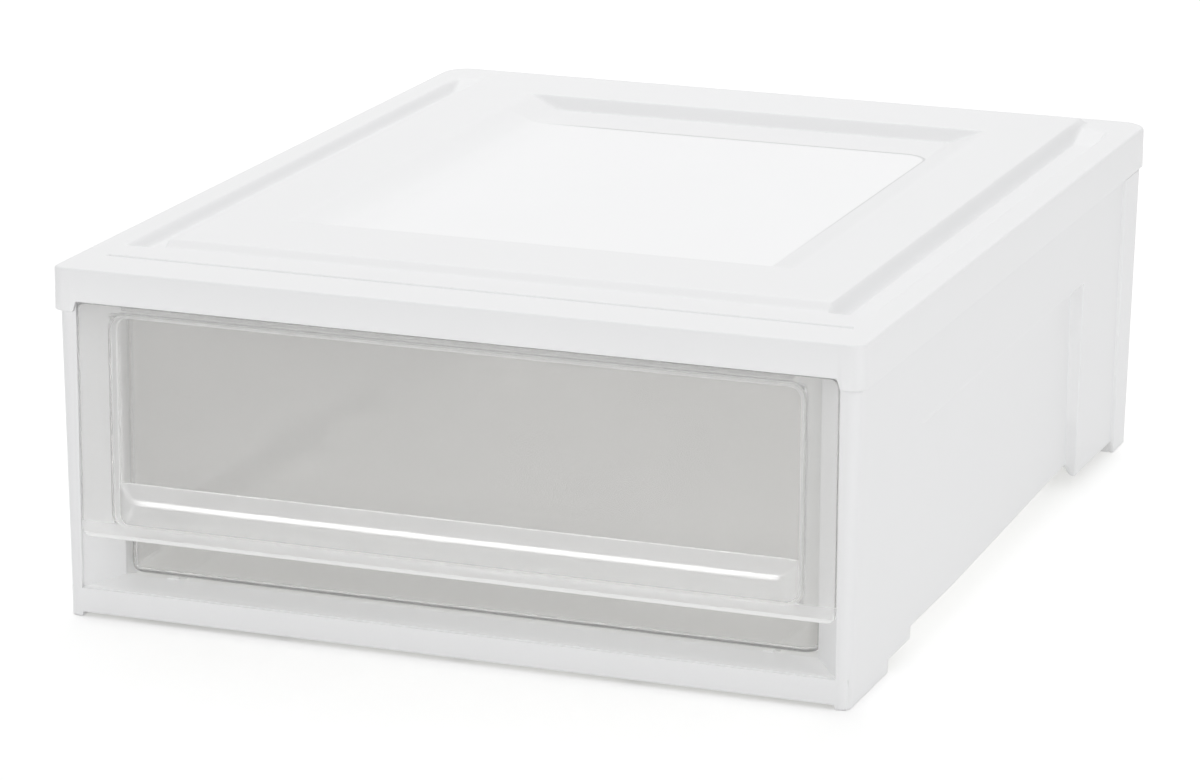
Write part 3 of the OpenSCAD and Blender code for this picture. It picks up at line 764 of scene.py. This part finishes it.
def frontGrid(inset, size=clearDrawer):
    # rows and columns over the front, bent round the corners of the pane and of the plate
    half = stations(0, *size["columns"])
    columns = np.concatenate([-half[:0:-1], half])
    corner, bend, paneBend = size["corner"], size["corner"] - inset, size["paneRadius"]
    lowCentre, highCentre = size["low"] + corner, size["high"] - corner
    start, stop = size["paneLow"] + size["paneInset"], size["paneHigh"] - size["paneInset"]
    rows = np.concatenate([
        lowCentre - bend * np.sin(quarterArc(6)),
        stations(lowCentre, *size["lowRows"], (start, size["lowSteps"])),
        stations(start, *size["paneRows"], (stop - paneBend, size["paneSteps"])),
        stop - paneBend * (1 - np.cos(quarterArc(9)[1:])),
        stations(stop, *size["highRows"]),
        highCentre + bend * np.sin(quarterArc(6)[1:]),
    ])
    rows = np.unique(np.round(rows, 5))
    rows = rows[np.concatenate([[True], np.diff(rows) > size["rowGap"]])]
    past = np.clip(np.maximum(lowCentre - rows, rows - highCentre), 0, bend)
    outer = size["half"] - corner + np.sqrt(bend ** 2 - past ** 2)
    lowCentre, highCentre = size["paneLow"] + paneBend, size["paneHigh"] - paneBend
    past = np.clip(np.maximum(lowCentre - rows, rows - highCentre), 0, paneBend)
    paneHalf = size["paneHalf"]
    inner = paneHalf - paneBend + np.sqrt(paneBend ** 2 - past ** 2)
    mag, outer, inner = np.abs(columns), outer[:, None], inner[:, None]
    within = stretched(mag, size["keptColumn"], paneHalf, inner)
    beyond = inner + (mag - paneHalf) * (outer - inner) / (size["half"] - paneHalf)
    x = np.sign(columns) * np.where(mag <= paneHalf, within, beyond)
    return x, np.broadcast_to(rows[:, None], x.shape)


def frontFinish(middle, size=clearDrawer):
    # the finish at the middle of each face of the plate: the first of these that holds, or else the pane
    x, _, z = middle.T
    reach = paneReach(x, z)
    bandTop = size["paneLow"] + size["lowBand"]
    step = reach > size["stepFrom"]
    order = [
        ("lip", z < size["lip"]), ("edge", step & (reach < size["stepTo"]) & (z > bandTop)),
        ("low", step & (z < bandTop)), ("frame", reach > size["frameFrom"]),
        ("grip", gripLift(x, z) > size["ridgeFrom"]),
    ]
    return np.select([where for _, where in order], [finishOf[name] for name, _ in order], finishOf["pane"])


def buildFront(size=clearDrawer):
    # front and back of the plate, joined round its edge by rounded rings
    wall, ease, corner = size["wall"], size["edgeRound"], size["corner"]
    x, z = frontGrid(ease)
    front, back = np.stack([x, faceDepth(x, z), z], -1), np.stack([x, backDepth(x, z), z], -1)
    edge = front.reshape(-1, 3)[rimOf(numbered(*x.shape))]
    cx = np.clip(edge[:, 0], corner - size["half"], size["half"] - corner)
    cz = np.clip(edge[:, 2], size["low"] + corner, size["high"] - corner)
    away = np.column_stack([edge[:, 0] - cx, np.zeros(len(edge)), edge[:, 2] - cz])
    away /= np.maximum(np.linalg.norm(away, axis=1, keepdims=True), 1e-9)
    steps = [(ease * math.sin(a), ease * (1 - math.cos(a))) for a in quarterArc(5)[1:]]
    steps += [(out, wall - depth) for out, depth in steps[::-1]]
    points, faces = closedSkin(front, back, [edge + away * out + [0, depth, 0] for out, depth in steps])
    return points, faces, frontFinish(points[faces].mean(1))


def planRing(inset, size=clearDrawer):
    # the tub's outline seen from above, drawn in by inset: a quarter of a rounded box and its mirror images
    radius, arc = size["tubRadius"], quarterArc(10)
    cx, cy = size["tubHalf"] - radius, (size["tubBack"] - size["tubFront"]) / 2 - radius
    quarter = np.column_stack([cx + (radius - inset) * np.cos(arc), cy + (radius - inset) * np.sin(arc)])
    ring = np.concatenate([quarter, quarter[::-1] * [-1, 1], -quarter, quarter[::-1] * [1, -1]])
    return ring + [0, (size["tubFront"] + size["tubBack"]) / 2]


def buildTub(size=clearDrawer):
    # a ring at each (inset, height) of the profile: the outside up, over the rim and down the inside, closed
    # by the floor's two faces
    low, high, wall, bend, rim = (size[k] for k in ("tubLow", "high", "wall", "tubEdge", "tubRim"))
    levels = (low + bend + 1, *size["tubLevels"], high - 1)
    arc, rimArc, inner = quarterArc(8), quarterArc(5), bend - wall
    profile = [(bend + more, low) for more in size["floorSteps"]]
    profile += [(bend * (1 - math.sin(a)), low + bend * (1 - math.cos(a))) for a in arc]
    profile += [(0, z) for z in levels]
    profile += [(rim * (1 - math.cos(a)), high - rim * (1 - math.sin(a))) for a in rimArc]
    profile += [(wall - rim * (1 - math.sin(a)), high - rim * (1 - math.cos(a))) for a in rimArc]
    profile += [(wall, z) for z in levels[::-1]]
    profile += [(wall + inner * (1 - math.cos(a)), low + wall + inner * (1 - math.sin(a))) for a in arc]
    profile += [(bend + more, low + wall) for more in size["floorSteps"][::-1]]
    rings = np.array([np.insert(planRing(inset), 2, z, axis=1) for inset, z in profile])
    index = numbered(*rings.shape[:2])
    faces = gridQuads(wrapped(index, 1)).tolist() + [index[0, ::-1].tolist(), index[-1].tolist()]
    return rings.reshape(-1, 3), faces


def buildDrawer(size=clearDrawer):
    # the front plate, the tub, the flange between them and the stop lugs, with the finish of every face
    frontPoints, frontFaces, finish = buildFront()
    tubPoints, tubFaces = buildTub()
    heights = np.array([tubPoints[face[:4], 2].mean() for face in tubFaces]) - size["tubLow"]
    inBend = (heights > size["bendBand"][0]) & (heights < size["bendBand"][1])
    half, front, back = size["flangeHalf"], size["face"] + size["wall"], size["tubFront"]
    front, back = front - size["flangeLap"], back + size["flangeLap"]
    outline = [(-half, front), (half, front), (half, back), (-half, back)]
    (x0, x1), lugLimits = size["lugX"], (*size["lugY"], *size["lugZ"])
    small = [
        plate(outline, size["high"] - size["wall"], size["high"] - size["flangeDrop"]),
        bar(x0, x1, *lugLimits), bar(-x1, -x0, *lugLimits),
    ]
    smallFaces = sum(len(faces) for _, faces in small)
    tubFinish = np.where(inBend, finishOf["frame"], finishOf["tub"])
    finish = np.concatenate([finish, tubFinish, np.full(smallFaces, finishOf["frame"])])
    shapes = [(frontPoints, frontFaces, True), (tubPoints, tubFaces, True)] + [(*s, False) for s in small]
    return (*joinShapes(shapes), finish.astype(np.int32))


drawerPoints, drawerFaces, drawerFlags, drawerFinish = buildDrawer()
drawerMesh = (drawerPoints, drawerFaces, drawerFlags)
drawerPiece = makePiece("clearDrawer", *drawerMesh, clearFinishes[0], "drawer", "clear")
for finish in clearFinishes[1:]:
    drawerPiece.data.materials.append(finish)
drawerPiece.data.polygons.foreach_set("material_index", drawerFinish)
drawerPiece.data.update()
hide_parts("drawer")
print("drawer:", len(drawerFaces), "faces")


studio = dict(
    world=0.57, floor=(0.97, 0.97, 0.97, 1.0), floorX=(-6.0, 6.0), floorY=(-6.0, 9.0), floorZ=-0.0003,
    glow=(0.18, 0.48), glowReach=(0.5, 5.0),  # near and far: the floor stays white far from the lamps
    lamps=dict(  # place, aim, width and height, power
        overhead=((-0.6, 0.8, 1.8), (0, 0, 0.1), (2.2, 2.2), 16.3),
        front=((-0.85, -2.55, 0.35), (0, -0.2, 0.08), (0.8, 0.3), 5.5),
        side=((2.2, -0.7, 1.3), (0, 0, 0.08), (1.0, 1.0), 10.0),
        fill=((0.7, -2.2, 1.1), (0, -0.2, 0.05), (1.0, 0.8), 4.0),
    ),
)


def seenRays(add):
    # 1 for rays from the camera, off a shiny surface or through clear plastic, and 0 for the rest
    path = add("ShaderNodeLightPath").outputs
    seen = compute(add, "MAXIMUM", path["Is Camera Ray"], path["Is Glossy Ray"])
    return compute(add, "MAXIMUM", seen, path["Is Transmission Ray"])


def buildWorld(look=studio):
    # plain white where it is seen, dimmer as a light
    world = bpy.data.worlds.new("studio")
    bpy.context.scene.world = world
    world.use_nodes = True
    world.node_tree.nodes.clear()
    add = nodeMaker(world.node_tree)
    limits = {"Value": seenRays(add), "To Min": look["world"], "To Max": 1.0}
    strength = add("ShaderNodeMapRange", limits).outputs[0]
    sky = add("ShaderNodeBackground", {"Color": (1, 1, 1, 1), "Strength": strength})
    add("ShaderNodeOutputWorld", {"Surface": sky.outputs[0]})


def buildFloor(look=studio):
    # a pale matt floor that keeps the shadow, with a faint glow where it is seen
    (x0, x1), (y0, y1), z = look["floorX"], look["floorY"], look["floorZ"]
    mesh = bpy.data.meshes.new("floor")
    mesh.from_pydata([(x0, y0, z), (x1, y0, z), (x1, y1, z), (x0, y1, z)], [], [(0, 1, 2, 3)])
    floor = bpy.data.objects.new("floor", mesh)
    bpy.context.scene.collection.objects.link(floor)
    material, add = newMaterial("paleFloor")
    place = add("ShaderNodeTexCoord").outputs["Object"]
    away = add("ShaderNodeVectorMath", {0: place}, operation="LENGTH").outputs["Value"]
    (near, far), (glowNear, glowFar) = look["glowReach"], look["glow"]
    limits = {"Value": away, "From Min": near, "From Max": far, "To Min": glowNear, "To Max": glowFar}
    strength = compute(add, "MULTIPLY", seenRays(add), add("ShaderNodeMapRange", limits).outputs[0])
    matt = add("ShaderNodeBsdfDiffuse", {"Color": look["floor"]})
    glow = add("ShaderNodeEmission", {"Color": (1, 1, 1, 1), "Strength": strength})
    both = add("ShaderNodeAddShader", {0: matt.outputs[0], 1: glow.outputs[0]})
    add("ShaderNodeOutputMaterial", {"Surface": both.outputs[0]})
    mesh.materials.append(material)


def softBox(name, place, aim, size, power):
    # a rectangular area lamp at a place, turned to its aim
    light = bpy.data.lights.new(name, "AREA")
    light.shape = "RECTANGLE"
    light.size, light.size_y = size
    light.energy = power
    lamp = bpy.data.objects.new(name, light)
    lamp.location = place
    lamp.rotation_mode = "QUATERNION"
    lamp.rotation_quaternion = (Vector(aim) - Vector(place)).to_track_quat("-Z", "Y")
    bpy.context.scene.collection.objects.link(lamp)


buildWorld()
buildFloor()
for name, lamp in studio["lamps"].items():
    softBox(name, *lamp)


view = dict(
    angles=(20.55, 15.38, 0.27),  # azimuth, elevation and roll in degrees
    distance=2.47479, target=(-0.00009, -0.04770, 0.07965), lens=149.72, sensor=36.0, clip=(0.05, 50.0),
)


def buildCamera(look=view):
    # the camera looks from its azimuth and elevation at the target, then rolls about its own axis
    az, el, roll = map(math.radians, look["angles"])
    back = Vector((math.sin(az) * math.cos(el), -math.cos(az) * math.cos(el), math.sin(el)))
    right = Vector((0, 0, 1)).cross(back).normalized()
    up = back.cross(right)
    x = right * math.cos(roll) + up * math.sin(roll)
    y = up * math.cos(roll) - right * math.sin(roll)
    data = bpy.data.cameras.new("camera")
    data.lens = look["lens"]
    data.sensor_width = look["sensor"]
    data.clip_start, data.clip_end = look["clip"]
    camera = bpy.data.objects.new("camera", data)
    turned = Matrix((x, y, back)).transposed().to_4x4()
    camera.matrix_world = Matrix.Translation(Vector(look["target"]) + back * look["distance"]) @ turned
    bpy.context.scene.collection.objects.link(camera)
    bpy.context.scene.camera = camera


buildCamera()
bpy.context.scene.view_settings.view_transform = "Standard"
bpy.context.view_layer.update()
print("stage and camera set")
